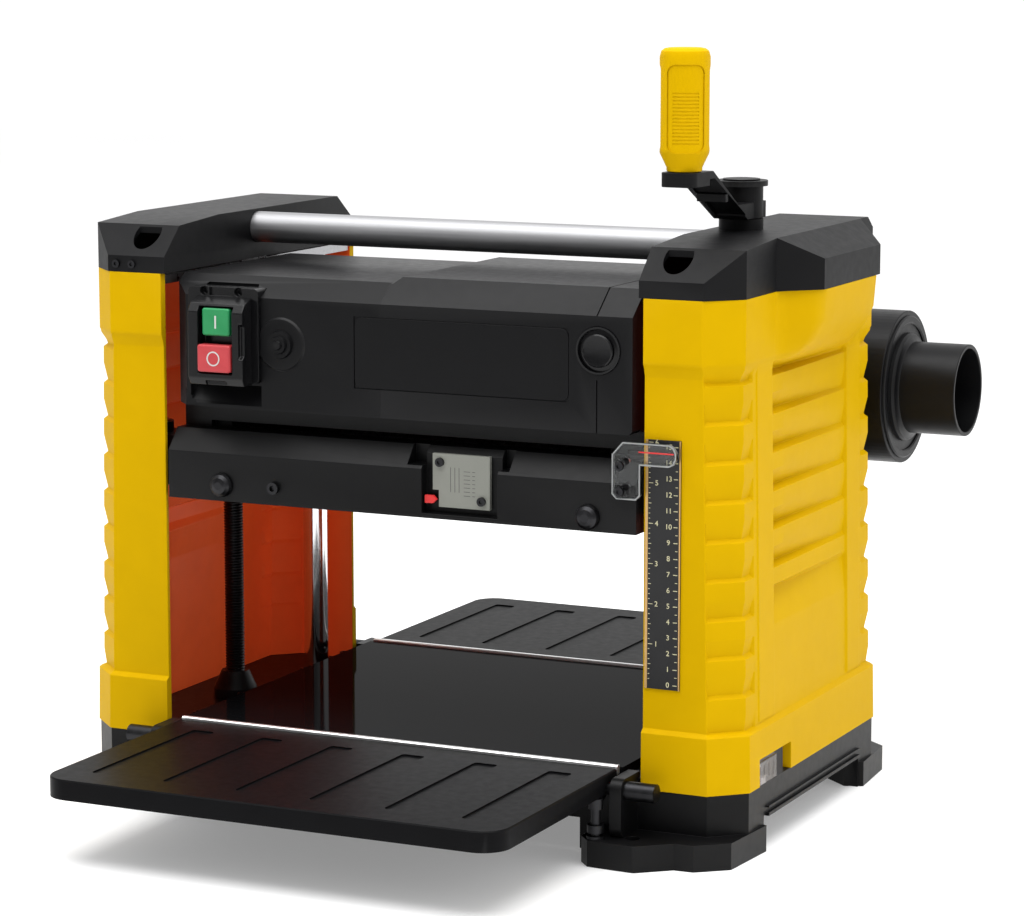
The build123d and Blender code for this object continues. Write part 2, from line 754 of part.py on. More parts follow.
def table_stop_screws():
    """Set screws that the tables rest on, each with a lock nut."""
    x, y = 155.0, -165.5
    screw = along("z", x, y, FOOT_H, 3, 20) + along("z", x, y, 36, 4.6, 6.7)
    screw += along("z", x, y, 21, 5.4, 5) + along("z", x, y, FOOT_H, 5.8, 2)
    front = both(screw)
    return group([front, mirror(front, about=Plane.XZ)])


# ---- every node ----
def nodes():
    made = {
        "base_casting": base_casting(),
        "bed_plate": bed_plate(),
        "bed_edge_strips": bed_edge_strips(),
        "frame_screws": frame_screws(),
        "top_brackets": group([top_bracket(side) for side in (-1, 1)]),
        "cross_tube": cross_tube(),
        "guide_columns": guide_columns(),
        "screw_bearings": screw_bearings(),
        "drive_chain": drive_chain(),
        "scale_strip": scale_strip(),
        "depth_stop": depth_stop(),
        "table_pivot_pins": table_pivot_pins(),
        "table_stop_screws": table_stop_screws(),
        "infeed_table": infeed_table(),
        "outfeed_table": outfeed_table(),
        "crank_arm": crank_arm(),
        "crank_hub_disc": crank_hub_disc(),
        "grip_pin": grip_pin(),
        "crank_grip": crank_grip(),
        "carriage_casting": carriage_casting(),
        "column_bushes": column_bushes(),
        "lift_nuts": lift_nuts(),
        "motor_cover_left": motor_cover_left(),
        "motor_cover_right": motor_cover_right(),
        "name_panel": name_panel(),
        "brush_caps": brush_caps(),
        "switch_plate": switch_plate(),
        "switch_box": switch_box(),
        "start_button": start_button(),
        "stop_button": stop_button(),
        "gauge_plate": gauge_plate(),
        "gauge_pointer": gauge_pointer(),
        "pointer_bracket": pointer_bracket(),
        "carriage_screws": carriage_screws(),
        "motor_stator": motor_stator(),
        "motor_frames": motor_frames(),
        "shaft_bearings": shaft_bearings(),
        "motor_armature": motor_armature(),
        "motor_pulley": motor_pulley(),
        "drive_belt": drive_belt(),
        "cutter_pulley": cutter_pulley(),
        "cutterhead": cutterhead(),
        "cutter_knives": cutter_knives(),
        "infeed_roller": feed_roller(-ROLLER_Y),
        "outfeed_roller": feed_roller(ROLLER_Y),
        "roller_bushes": roller_bushes(),
        "feed_chain": feed_chain(),
        "pawl_rod": pawl_rod(),
        "kickback_pawls": kickback_pawls(),
        "dust_hood": dust_hood(),
        "dust_outlet": dust_outlet(),
        "cord_gland": cord_gland(),
    }
    for name, side in (("left", -1), ("right", 1)):
        made[f"{name}_tower_shell"] = tower_shell(side)
        made[f"{name}_top_cap"] = top_cap(side)
        made[f"{name}_lead_screw"] = lead_screw(side)
        made[f"{name}_sprocket"] = sprocket(side)
    return made


def main():
    os.makedirs("parts", exist_ok=True)
    for name, shape in nodes().items():
        export_step(shape, f"parts/{name}.step")


main()
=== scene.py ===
"""A benchtop thickness planer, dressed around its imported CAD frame. Metres, +Z up."""

import math

import bmesh
import bpy
from mathutils import Matrix, Vector


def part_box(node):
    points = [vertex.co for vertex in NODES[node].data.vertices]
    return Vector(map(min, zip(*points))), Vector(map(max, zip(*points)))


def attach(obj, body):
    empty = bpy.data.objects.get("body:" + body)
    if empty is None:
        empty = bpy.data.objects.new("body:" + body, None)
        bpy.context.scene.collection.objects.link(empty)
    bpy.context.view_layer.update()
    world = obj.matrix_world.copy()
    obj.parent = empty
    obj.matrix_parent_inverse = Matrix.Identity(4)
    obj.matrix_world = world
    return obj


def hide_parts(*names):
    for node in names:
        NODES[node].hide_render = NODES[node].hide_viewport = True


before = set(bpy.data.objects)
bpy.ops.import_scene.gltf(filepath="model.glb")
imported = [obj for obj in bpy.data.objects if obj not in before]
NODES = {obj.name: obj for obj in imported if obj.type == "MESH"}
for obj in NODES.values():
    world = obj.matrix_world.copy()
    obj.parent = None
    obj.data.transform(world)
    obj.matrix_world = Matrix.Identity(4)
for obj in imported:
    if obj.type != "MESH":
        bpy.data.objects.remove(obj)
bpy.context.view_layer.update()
MM = 0.001

# The camera looks at AIM from the machine's front right. LENS and SENSOR are in millimetres.
AIM = Vector((0.0675, -0.1023, 0.2417))
AZIMUTH = math.radians(25.33)
ELEVATION = math.radians(8.965)
DISTANCE = 2.2
LENS, SENSOR = 120.96, 36


# ---- materials ----
# Nearly all noise lies between these two values.
NOISE_LOW, NOISE_HIGH = 0.3, 0.7


def new_material(name):
    material = bpy.data.materials.new(name)
    material.use_nodes = True
    tree = material.node_tree
    return material, tree, tree.nodes["Principled BSDF"]


def noise(tree, scale, detail=3.0):
    """Noise in object space, so that it stays on the piece as it moves."""
    coords = tree.nodes.new("ShaderNodeTexCoord")
    node = tree.nodes.new("ShaderNodeTexNoise")
    node.inputs["Scale"].default_value = scale
    node.inputs["Detail"].default_value = detail
    node.inputs["Roughness"].default_value = 0.55
    tree.links.new(coords.outputs["Object"], node.inputs["Vector"])
    return node.outputs["Fac"]


def spread(tree, value, low, high):
    """Maps noise onto a range of plain values."""
    node = tree.nodes.new("ShaderNodeMapRange")
    node.inputs["From Min"].default_value = NOISE_LOW
    node.inputs["From Max"].default_value = NOISE_HIGH
    node.inputs["To Min"].default_value = low
    node.inputs["To Max"].default_value = high
    tree.links.new(value, node.inputs["Value"])
    return node.outputs["Result"]


def tint(tree, value, dark, light):
    """Maps noise onto colours from dark to light."""
    ramp = tree.nodes.new("ShaderNodeValToRGB")
    ends = zip(ramp.color_ramp.elements, (NOISE_LOW, NOISE_HIGH), (dark, light))
    for element, position, color in ends:
        element.position = position
        element.color = (*color, 1)
    tree.links.new(value, ramp.inputs["Fac"])
    return ramp.outputs["Color"]


def bump(tree, height, shader, strength, distance):
    node = tree.nodes.new("ShaderNodeBump")
    node.inputs["Strength"].default_value = strength
    node.inputs["Distance"].default_value = distance
    tree.links.new(height, node.inputs["Height"])
    tree.links.new(node.outputs["Normal"], shader.inputs["Normal"])


def drifted(base, shift):
    """The dark and the light end of a colour that drifts by a share."""
    return [c * (1 - shift) for c in base], [min(1, c * (1 + shift)) for c in base]


def worn(tree, color, wear_and_highlight_color, amount):
    """Lightens convex edges, where pointiness is over a half: partly wear from handling, partly
    painted highlight along the edges.
    """
    geometry = tree.nodes.new("ShaderNodeNewGeometry")
    ramp = tree.nodes.new("ShaderNodeMapRange")
    ramp.inputs["From Min"].default_value = 0.53
    ramp.inputs["From Max"].default_value = 0.62
    ramp.inputs["To Max"].default_value = amount
    tree.links.new(geometry.outputs["Pointiness"], ramp.inputs["Value"])
    mix = tree.nodes.new("ShaderNodeMix")
    mix.data_type = "RGBA"
    mix.inputs["B"].default_value = (*wear_and_highlight_color, 1)
    tree.links.new(ramp.outputs["Result"], mix.inputs["Factor"])
    tree.links.new(color, mix.inputs["A"])
    return mix.outputs["Result"]


def moulded(name, base, roughness, grain, depth, shift, wear_and_highlight, gloss=0.35):
    """Moulded or painted plastic: fine grain, faint colour drift and lighter edges, for wear and
    painted highlight.
    """
    material, tree, shader = new_material(name)
    color = tint(tree, noise(tree, 45, 5), *drifted(base, shift))
    # The lighter edge colour is partly wear and partly painted highlight.
    edge = [min(1, c * 1.2 + 0.02) for c in base]
    tree.links.new(worn(tree, color, edge, wear_and_highlight), shader.inputs["Base Color"])
    rough = spread(tree, noise(tree, 160, 5), roughness - 0.03, roughness + 0.03)
    tree.links.new(rough, shader.inputs["Roughness"])
    bump(tree, noise(tree, grain, 2), shader, 0.25, depth * MM)
    shader.inputs["Specular IOR Level"].default_value = gloss
    return material


def metal(name, base, roughness, streak, scale, depth=0.004):
    """Bare metal, with tooling streaks where streak differs between the axes."""
    material, tree, shader = new_material(name)
    coords = tree.nodes.new("ShaderNodeTexCoord")
    stretch = tree.nodes.new("ShaderNodeMapping")
    stretch.inputs["Scale"].default_value = streak
    grain = tree.nodes.new("ShaderNodeTexNoise")
    grain.inputs["Scale"].default_value = scale
    grain.inputs["Detail"].default_value = 5
    tree.links.new(coords.outputs["Object"], stretch.inputs["Vector"])
    tree.links.new(stretch.outputs["Vector"], grain.inputs["Vector"])
    color = tint(tree, grain.outputs["Fac"], *drifted(base, 0.08))
    tree.links.new(color, shader.inputs["Base Color"])
    rough = spread(tree, grain.outputs["Fac"], max(0.03, roughness - 0.08), roughness + 0.08)
    tree.links.new(rough, shader.inputs["Roughness"])
    shader.inputs["Metallic"].default_value = 1.0
    bump(tree, grain.outputs["Fac"], shader, 0.3, depth * MM)
    return material


def clear_plastic(name, base, clearness):
    """See-through plastic whose low IOR keeps what lies behind it undistorted."""
    material, tree, shader = new_material(name)
    color = tint(tree, noise(tree, 40), [c * 0.92 for c in base], base)
    tree.links.new(color, shader.inputs["Base Color"])
    rough = spread(tree, noise(tree, 200), 0.03, 0.08)
    tree.links.new(rough, shader.inputs["Roughness"])
    bump(tree, noise(tree, 500), shader, 0.1, 0.01 * MM)
    shader.inputs["Transmission Weight"].default_value = clearness
    shader.inputs["IOR"].default_value = 1.12
    return material


# Name, colour, roughness, grain scale, grain depth in mm, colour drift, edge lightening (wear and
# painted highlight) and, where it isn't the usual one, gloss.
MOULDED = {
    "yellow": ("yellow_moulding", (0.55, 0.33, 0.0003), 0.46, 1800, 0.03, 0.02, 0.3, 0.02),
    # The shells' inside is the same yellow plastic: its orange-red colour is painted shade, the
    # yellow as it looks deep in the shell.
    "inside_painted_shade_and_glow": ("inside_painted_shade_and_glow", (0.85, 0.13, 0.02), 0.5, 1800, 0.03, 0.05, 0.1, 0.2),
    "charcoal": ("charcoal_moulding", (0.004, 0.004, 0.0045), 0.46, 2200, 0.05, 0.1, 0.6, 0.10),
    "black": ("black_moulding", (0.003, 0.003, 0.0035), 0.4, 2400, 0.05, 0.1, 0.5, 0.14),
    "black_gloss": ("smooth_black", (0.003, 0.003, 0.0035), 0.24, 1500, 0.01, 0.1, 0.3, 0.22),
    "cast": ("painted_casting", (0.003, 0.003, 0.0033), 0.4, 900, 0.09, 0.12, 0.6, 0.14),
    "table": ("painted_table", (0.004, 0.004, 0.0045), 0.4, 1300, 0.06, 0.1, 0.4, 0.04),
    "gloss": ("gloss_bed", (0.002, 0.002, 0.0025), 0.05, 700, 0.003, 0.1, 0.1, 0.003),
    "panel": ("blank_panel", (0.0025, 0.0025, 0.003), 0.32, 2000, 0.02, 0.1, 0.2, 0.14),
    "green": ("green_key", (0.010, 0.21, 0.065), 0.35, 1500, 0.02, 0.08, 0.3),
    "red": ("red_key", (0.42, 0.035, 0.042), 0.35, 1500, 0.02, 0.08, 0.3),
    "arrow": ("red_arrow", (0.60, 0.02, 0.02), 0.4, 1500, 0.02, 0.05, 0.2),
    "grey": ("grey_plate", (0.20, 0.205, 0.18), 0.5, 900, 0.03, 0.05, 0.2),
    "grey_ink": ("grey_ink", (0.07, 0.07, 0.065), 0.5, 900, 0.01, 0.1, 0.1),
    "white": ("white_sign", (0.50, 0.50, 0.48), 0.4, 900, 0.01, 0.03, 0.1),
    "cream": ("cream_ink", (0.50, 0.47, 0.30), 0.5, 900, 0.01, 0.05, 0.1),
    "rubber": ("black_rubber", (0.012, 0.012, 0.012), 0.7, 800, 0.1, 0.2, 0.2),
    "scale": ("scale_label", (0.006, 0.006, 0.007), 0.4, 1500, 0.01, 0.1, 0.1),
    # The pale edge colour is a painted highlight on the clear bracket's edges.
    "frost": ("painted_edge_highlight_plastic", (0.26, 0.27, 0.27), 0.3, 900, 0.02, 0.05, 0.3, 0.6),
}

# How quickly the grain changes along X, Y and Z.
ALONG_X, ALONG_Z, EVEN = (0.02, 1, 1), (1, 1, 0.02), (1, 1, 1)
ACROSS_X, ROUND_Z = (30, 1, 1), (1, 1, 30)

# Name, colour, roughness, streaks, grain scale and, where it isn't the usual one, grain depth.
METALS = {
    "tube": ("satin_tube", (0.36, 0.36, 0.37), 0.5, ALONG_X, 500),
    "chrome": ("ground_column", (0.80, 0.80, 0.81), 0.12, ROUND_Z, 200),
    "steel": ("machined_steel", (0.42, 0.42, 0.43), 0.32, ACROSS_X, 200),
    "bright": ("polished_strip", (0.97, 0.97, 0.96), 0.45, ALONG_X, 400),
    "blacksteel": ("black_oxide", (0.03, 0.03, 0.032), 0.38, ALONG_Z, 300),
    "castbare": ("bare_casting", (0.5, 0.5, 0.51), 0.5, EVEN, 250, 0.02),
    "bronze": ("bronze_bush", (0.52, 0.33, 0.14), 0.35, ROUND_Z, 200),
}

MATERIAL = {key: moulded(*row) for key, row in MOULDED.items()}
MATERIAL |= {key: metal(*row) for key, row in METALS.items()}
MATERIAL["clear"] = clear_plastic("clear_window", (0.93, 0.95, 0.95), 0.97)
MATERIAL["smoke"] = clear_plastic("smoky_stop", (0.52, 0.49, 0.47), 0.75)

# Painted glow: an emission on the shells' inside stands in for the light that comes through the
# thin plastic.
painted_glow = MATERIAL["inside_painted_shade_and_glow"].node_tree.nodes["Principled BSDF"]
painted_glow.inputs["Emission Color"].default_value = (0.9, 0.09, 0.02, 1)
painted_glow.inputs["Emission Strength"].default_value = 0.14

# CAD nodes that are shown as they are, by finish.
WEARS = {
    "charcoal": ["crank_hub_disc"],
    "black": ["screw_bearings"],
    "gloss": ["bed_plate"],
    "arrow": ["gauge_pointer"],
    "grey": ["gauge_plate"],
    "rubber": ["drive_belt", "infeed_roller", "outfeed_roller", "cord_gland"],
    "scale": ["scale_strip"],
    "tube": ["cross_tube"],
    "chrome": ["guide_columns", "shaft_bearings"],
    "steel": ["top_brackets", "grip_pin", "left_sprocket", "right_sprocket",
              "motor_stator", "motor_armature", "cutterhead", "feed_chain", "pawl_rod",
              "kickback_pawls"],
    "bright": ["cutter_knives"],
    "blacksteel": ["frame_screws", "table_pivot_pins", "table_stop_screws", "carriage_screws"],
    "castbare": ["motor_frames", "motor_pulley", "cutter_pulley"],
    "bronze": ["column_bushes", "lift_nuts", "roller_bushes"],
}


def dress_nodes():
    for finish, names in WEARS.items():
        for name in names:
            mesh = NODES[name].data
            mesh.materials.clear()
            mesh.materials.append(MATERIAL[finish])


# ---- mesh helpers: shapes are drawn in millimetres and stored in metres ----
AXES = {"x": (1, 2, 0), "y": (0, 2, 1), "z": (0, 1, 2)}
SHARP_ANGLE = math.radians(30)


def place(axis, p, q, height):
    """The point whose two coordinates across an axis are p and q."""
    point = [0.0, 0.0, 0.0]
    for index, value in zip(AXES[axis], (p, q, height)):
        point[index] = value
    return point


def prism(points, axis, low, high, bm=None):
    """A straight solid on an outline, from one height to another."""
    bm = bm or bmesh.new()
    rings = [[bm.verts.new(place(axis, p, q, h)) for p, q in points] for h in (low, high)]
    bm.faces.new(rings[0])
    bm.faces.new(rings[1][::-1])
    for i in range(len(points)):
        bm.faces.new((rings[0][i - 1], rings[0][i], rings[1][i], rings[1][i - 1]))
    return bm


def block(x, y, z, bm=None):
    """A box from its (low, high) pairs."""
    return prism(((x[0], y[0]), (x[1], y[0]), (x[1], y[1]), (x[0], y[1])), "z", *z, bm)


def circle(p, q, radius, steps=40):
    turns = [2 * math.pi * i / steps for i in range(steps)]
    return [(p + radius * math.cos(t), q + radius * math.sin(t)) for t in turns]


def rounded(p, q, radius, steps=5):
    """The outline of a rectangle with round corners, from its (low, high) pairs."""
    points = []
    for corner, (a, b) in enumerate(((1, 1), (0, 1), (0, 0), (1, 0))):
        cp = p[a] + (radius if a == 0 else -radius)
        cq = q[b] + (radius if b == 0 else -radius)
        for i in range(steps + 1):
            turn = math.pi / 2 * (corner + i / steps)
            points.append((cp + radius * math.cos(turn), cq + radius * math.sin(turn)))
    return points


def disc(axis, p, q, radius, low, high, bm=None, steps=40):
    return prism(circle(p, q, radius, steps), axis, low, high, bm)


def lathe(profile, axis, p, q, bm=None, steps=64):
    """Spins a closed outline of (radius, height) points about an axis."""
    bm = bm or bmesh.new()
    rings = []
    for radius, height in profile:
        around = circle(p, q, radius, steps) if radius else [(p, q)]
        rings.append([bm.verts.new(place(axis, a, b, height)) for a, b in around])
    for i in range(len(rings)):
        one, two = rings[i - 1], rings[i]
        if len(one) == len(two) == 1:
            continue
        for j in range(steps):
            corners = [one[(j - 1) % len(one)], one[j % len(one)]]
            corners += [two[j % len(two)], two[(j - 1) % len(two)]]
            bm.faces.new(list(dict.fromkeys(corners)))
    return bm


def link(name, data):
    """Puts a mesh, curve, light or camera in the scene."""
    obj = bpy.data.objects.new(name, data)
    bpy.context.scene.collection.objects.link(obj)
    return obj


def made(name, bm):
    """An object from a bmesh in millimetres."""
    bmesh.ops.recalc_face_normals(bm, faces=bm.faces)
    mesh = bpy.data.meshes.new(name)
    bm.to_mesh(mesh)
    bm.free()
    mesh.transform(Matrix.Scale(MM, 4))
    return link(name, mesh)


def copied(name, node):
    """A new piece that starts from a CAD node's shape."""
    mesh = NODES[node].data.copy()
    bm = bmesh.new()
    bm.from_mesh(mesh)
    bmesh.ops.remove_doubles(bm, verts=bm.verts, dist=0.002 * MM)
    for layer in list(bm.loops.layers.uv):
        bm.loops.layers.uv.remove(layer)
    bmesh.ops.dissolve_limit(
        bm, angle_limit=math.radians(0.5), verts=bm.verts, edges=bm.edges
    )
    # Where two corners only touch, each gets its own vertex, so that the bevel stays closed.
    for pinched in [v for v in bm.verts if not v.is_manifold]:
        bmesh.utils.vert_separate(pinched, [])
    fresh = bpy.data.meshes.new(name)
    bm.to_mesh(fresh)
    bm.free()
    return link(name, fresh)


def combine(obj, cutters, way="DIFFERENCE"):
    """Cuts other objects out of a piece, or joins them to it, and removes them."""
    for cutter in cutters:
        cut = obj.modifiers.new("cut", "BOOLEAN")
        cut.object = cutter
        cut.operation = way
        cut.solver = "EXACT"
    depsgraph = bpy.context.evaluated_depsgraph_get()
    mesh = bpy.data.meshes.new_from_object(obj.evaluated_get(depsgraph))
    obj.modifiers.clear()
    obj.data = mesh
    for cutter in cutters:
        bpy.data.objects.remove(cutter)


def carve(obj, *tools, way="DIFFERENCE"):
    """Combines a piece with tools that are still bmeshes."""
    combine(obj, [made("cutter", tool) for tool in tools], way)


def soften(obj, width):
    """Rounds the edges a little, as moulding and casting do."""
    edge = obj.modifiers.new("edge", "BEVEL")
    edge.width = width * MM
    edge.segments = 2
    edge.angle_limit = SHARP_ANGLE
    edge.miter_outer = "MITER_ARC"
    weigh = obj.modifiers.new("flat", "WEIGHTED_NORMAL")
    weigh.keep_sharp = True


def settle(obj, finish, body, *nodes, slot=None, edge=0.0):
    """Shades a piece, gives it its finish and makes it ride on its body."""
    mesh = obj.data
    if mesh.materials:
        mesh.materials.clear()
    for name in [finish] if isinstance(finish, str) else finish:
        mesh.materials.append(MATERIAL[name])
    mesh.shade_smooth()
    mesh.set_sharp_from_angle(angle=SHARP_ANGLE)
    if edge:
        soften(obj, edge)
    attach(obj, body)
    if nodes:
        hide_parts(*nodes)


# ---- towers ----
LEDGES = [105.5 + 24.5 * n for n in range(9)]
CORNER_DEPTH = 2.6
BULGE_DEPTH = 23
WALL = 2.2
TOWER_TOP, TOWER_FOOT = 352.5, 43.0
# The shell widens by FOOT_SPREAD from its top to its foot, but only below SPREAD_TOP.
FOOT_SPREAD, SPREAD_TOP = 6.0, 310.5
# The skin's corners before any inset: inner end, start and end of the chamfer.
INNER_X, CHAMFER_X, SIDE_X = 172.0, 211, 232
FRONT_Y, SIDE_START_Y = -135, -115
# Along the side: the corner relief, the raised pads and the field of louvres between them.
CORNER_Y, PAD_FRONT, PAD_REAR, PAD_HEIGHT = 98, -66, 70, 0.8
FIELD_FRONT, FIELD_LENGTH, FIELD_DEPTH, FIELD_TAPER = -64, 132, 7.2, 5.4
BULGE_REAR, FADE_FRONT, FADE_REAR = 92, 30, 34
WINDOW_FRONT, WINDOW_REAR, WINDOW_TOP = -98, -43, 60.5


def between(points, value):
    """A value read off a falling list of (height, share) points."""
    for (z1, s1), (z0, s0) in zip(points, points[1:]):
        if z0 <= value <= z1:
            return s0 + (s1 - s0) * (value - z0) / (z1 - z0)
    return points[0][1] if value > points[0][0] else points[-1][1]


def louvre_points(ledges):
    """Deepest at each ledge, none at its lip and a way below it, then deeper again."""
    points = []
    for z in sorted(ledges, reverse=True):
        points += [(z, 1.0), (z - 2.3, 0.0), (z - 13, 0.0)]
    return points


CORNER = [(312, 0.0), (309, 0.0)] + louvre_points(LEDGES) + [(82, 0.6), (81, 0.0)]
SIDE = [(312, 0.0), (309, 0.0)] + louvre_points(LEDGES[3:])
SIDE += [(162, 1.0), (139.5, 0.0), (81, 0.0)]
SKIN = [(353, 0.0), (312, 0.0), (309, 1.6), (304, 3.0), (82, 3.0), (79.5, 0.0), (43, 0.0)]
BULGE = [(353, 1.0), (332, 0.92), (320, 0.66), (311, 0.3), (303, 0.0), (43, 0.0)]
RAISED = [(353, 0.0), (309, 0.0), (304, 1.0), (84, 1.0), (82, 0.0), (43, 0.0)]
FRONT_SHARES = (0.0, 0.5, 1.0)
CHAMFER_SHARES = (0.05, 0.35, 0.65, 1.0)
SIDE_Y = (-106, -100, -98, -93, -92, -66, -64, -60, -55, -50, -43, -40, -34, -15, 10, 35,
          58, 65, 68, 70, 76, 82, 90, 92, 93, 98, 100, 106)


def side_relief(y, z):
    """How deep the tower's side lies below its skin; less than 0 is above it."""
    if abs(y) >= CORNER_Y:
        return CORNER_DEPTH * between(CORNER, z) * min(1, (abs(y) - CORNER_Y) / 2)
    if y <= PAD_FRONT or y >= PAD_REAR:
        return -PAD_HEIGHT * between(RAISED, z) * (1 if abs(y) <= 92 else 93 - abs(y))
    depth = FIELD_DEPTH - FIELD_TAPER * (y - FIELD_FRONT) / FIELD_LENGTH
    return 0.5 * between(RAISED, z) + depth * between(SIDE, z)


def tower_point(column, z, inside):
    """The (x, y) of one column of the skin at a height, on the right-hand front."""
    zone, t = column
    slope = (TOWER_TOP - z) / (TOWER_TOP - TOWER_FOOT)
    spread = FOOT_SPREAD * slope if z < SPREAD_TOP else 0.0
    inset = between(SKIN, z)
    if zone == "side":
        inset += side_relief(t, z)
    elif zone == "chamfer":
        inset += CORNER_DEPTH * between(CORNER, z)
    if inside:
        inset = max(6.0, inset + WALL)
    if zone == "side":
        bulge = BULGE_DEPTH * between(BULGE, z)
        fade = (t - FIELD_FRONT) / FADE_FRONT if t < 0 else (BULGE_REAR - t) / FADE_REAR
        reach = min(1, max(0, fade))
        return SIDE_X + spread - inset + bulge * reach * reach * (3 - 2 * reach), t
    one = (CHAMFER_X + spread - 0.4 * inset, FRONT_Y + inset)
    two = (SIDE_X + spread - inset, SIDE_START_Y + 0.43 * inset)
    if zone == "front":
        return INNER_X + (one[0] - INNER_X) * t, one[1]
    return one[0] + (two[0] - one[0]) * t, one[1] + (two[1] - one[1]) * t


def tower_columns():
    """Every column of the shell's skin, as ((zone, place in it), whether it is the back)."""
    front = [(("front", t), False) for t in FRONT_SHARES]
    front += [(("chamfer", t), False) for t in CHAMFER_SHARES]
    back = [(column, True) for column, _ in reversed(front)]
    return front + [(("side", y), False) for y in SIDE_Y] + back


def tower_rows():
    """Every height at which the skin has a row, from the top down."""
    heights = {TOWER_TOP, TOWER_FOOT, WINDOW_TOP, 309.0, 306.0, 84.0, 314.0}
    for points in (CORNER, SIDE, SKIN, BULGE):
        heights |= {z for z, _ in points if TOWER_FOOT < z < TOWER_TOP}
    return sorted(heights, reverse=True)


def in_window(column, z, sign):
    """Whether a cell of the shell is the window for the depth stop."""
    (zone, y), _ = column
    in_place = WINDOW_FRONT <= y < WINDOW_REAR and z <= WINDOW_TOP
    return sign > 0 and zone == "side" and in_place


def tower(sign):
    """A ribbed shell with an inner skin: the right-hand one is 1, the left-hand one -1."""
    bm = bmesh.new()
    columns, rows = tower_columns(), tower_rows()
    skins = []
    for inside in (False, True):
        grid = []
        for z in rows:
            line = []
            for column, back in columns:
                x, y = tower_point(column, z, inside)
                line.append(bm.verts.new((sign * x, -y if back else y, z)))
            grid.append(line)
        skins.append(grid)
    cells = {
        (r, c)
        for r in range(len(rows) - 1)
        for c in range(len(columns) - 1)
        if not in_window(columns[c], rows[r], sign)
    }
    for r, c in cells:
        for number, grid in enumerate(skins):
            corners = (grid[r][c], grid[r][c + 1], grid[r + 1][c + 1], grid[r + 1][c])
            bm.faces.new(corners).material_index = number
        rims = {
            (r - 1, c): ((r, c), (r, c + 1)),
            (r + 1, c): ((r + 1, c), (r + 1, c + 1)),
            (r, c - 1): ((r, c), (r + 1, c)),
            (r, c + 1): ((r, c + 1), (r + 1, c + 1)),
        }
        for beyond, ((r1, c1), (r2, c2)) in rims.items():
            if beyond not in cells:
                outer, inner = skins
                bm.faces.new((outer[r1][c1], outer[r2][c2], inner[r2][c2], inner[r1][c1]))
    loose = [v for v in bm.verts if not v.link_faces]
    bmesh.ops.delete(bm, geom=loose, context="VERTS")
    side = "right" if sign > 0 else "left"
    shell = made(f"{side}_tower_ribbed_shell", bm)
    # The inner skin takes the inside's painted shade and painted glow.
    finish = ("yellow", "inside_painted_shade_and_glow")
    settle(shell, finish, "frame", f"{side}_tower_shell", slot="yellow_shell", edge=0.35)


# ---- bed ----
def bed_beads():
    """Bright wear strips along the front and back edges of the bed."""
    low, high = (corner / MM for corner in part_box("bed_edge_strips"))
    bm = bmesh.new()
    for side in (-1, 1):
        front, back = sorted((side * 139.4, side * 135.4))
        section = [(front, 52), (back, 52), (back, 57.0), (back - 0.7, 57.7),
                   (front + 0.7, 57.7), (front, 57.0)]
        prism(section, "x", low.x, high.x, bm)
    settle(made("bed_wear_strips", bm), "bright", "frame", "bed_edge_strips", slot="bright_steel")


# ---- castings and mouldings that keep their CAD shape, with softened edges ----
SOFTENED = (
    ("base_casting", "cast", "frame", "cast_black", 0.7),
    ("carriage_casting", "cast", "carriage", "cast_black", 0.7),
    ("left_top_cap", "charcoal", "frame", "charcoal_plastic", 0.9),
    ("right_top_cap", "charcoal", "frame", "charcoal_plastic", 0.9),
    ("crank_arm", "charcoal", "crank", "charcoal_plastic", 0.6),
    ("dust_hood", "black", "carriage", "black_plastic", 1.0),
    ("dust_outlet", "black", "carriage", "black_plastic", 0.5),
)


def softened_copies():
    for node, finish, body, slot, edge in SOFTENED:
        piece = copied(node + "_softened", node)
        if node == "base_casting":
            side_flanges(piece)
        settle(piece, finish, body, node, slot=slot, edge=edge)


def side_flanges(base):
    """Two raised beads along the arch at each end of the base."""
    beads = bmesh.new()
    for side in (-1, 1):
        x = sorted((side * 236.0, side * 239.0))
        block(x, (-84, 86), (21.2, 23.4), beads)
        block(x, (-84, 86), (26.6, 27.8), beads)
    carve(base, beads, way="UNION")


# ---- folding tables ----
CHANNEL_X = [51.4 * (n - 2.5) + 1.5 for n in range(6)]


def table(name, node, body, y):
    """A folding table with its six sunk channels and, at its far end, two rubber pads."""
    top = copied(name, node)
    channels = bmesh.new()
    for x in CHANNEL_X:
        prism(rounded((x - 8, x + 8), y, 2.5), "z", 55.0, 57.0, channels)
    carve(top, channels)
    settle(top, "table", body, node, slot="table_black", edge=0.5)
    far = max(y, key=abs)
    pads = bmesh.new()
    for x in (-118, 118):
        edge = sorted((far, far + math.copysign(14, far)))
        prism(rounded((x - 17, x + 17), edge, 4), "z", 40.2, 44.0, pads)
    settle(made(name + "_pads", pads), "rubber", body, edge=0.5)


# ---- scale on the right-hand tower ----
SCALE_ZERO = 111
CENTIMETRE, INCH = 10, 25.4
PRINT = 0.08


def digits(text):
    """A number as a closed mesh, centred, in the XY plane."""
    curve = bpy.data.curves.new("digits", "FONT")
    curve.body = text
    curve.size = 4.6 * MM
    curve.offset = 0.04 * MM
    curve.extrude = PRINT / 2 * MM
    curve.align_x = "CENTER"
    curve.align_y = "CENTER"
    obj = link("digits", curve)
    depsgraph = bpy.context.evaluated_depsgraph_get()
    mesh = bpy.data.meshes.new_from_object(obj.evaluated_get(depsgraph))
    bpy.data.objects.remove(obj)
    return mesh


def add_digits(bm, number, x, y, z):
    """Stands a number upright at a place, facing the front."""
    mesh = digits(str(number))
    turn = Matrix.Translation((x, y, z)) @ Matrix.Rotation(math.pi / 2, 4, "X")
    mesh.transform(turn @ Matrix.Scale(1 / MM, 4))
    bm.from_mesh(mesh)
    bmesh.ops.remove_doubles(bm, verts=bm.verts, dist=0.001)


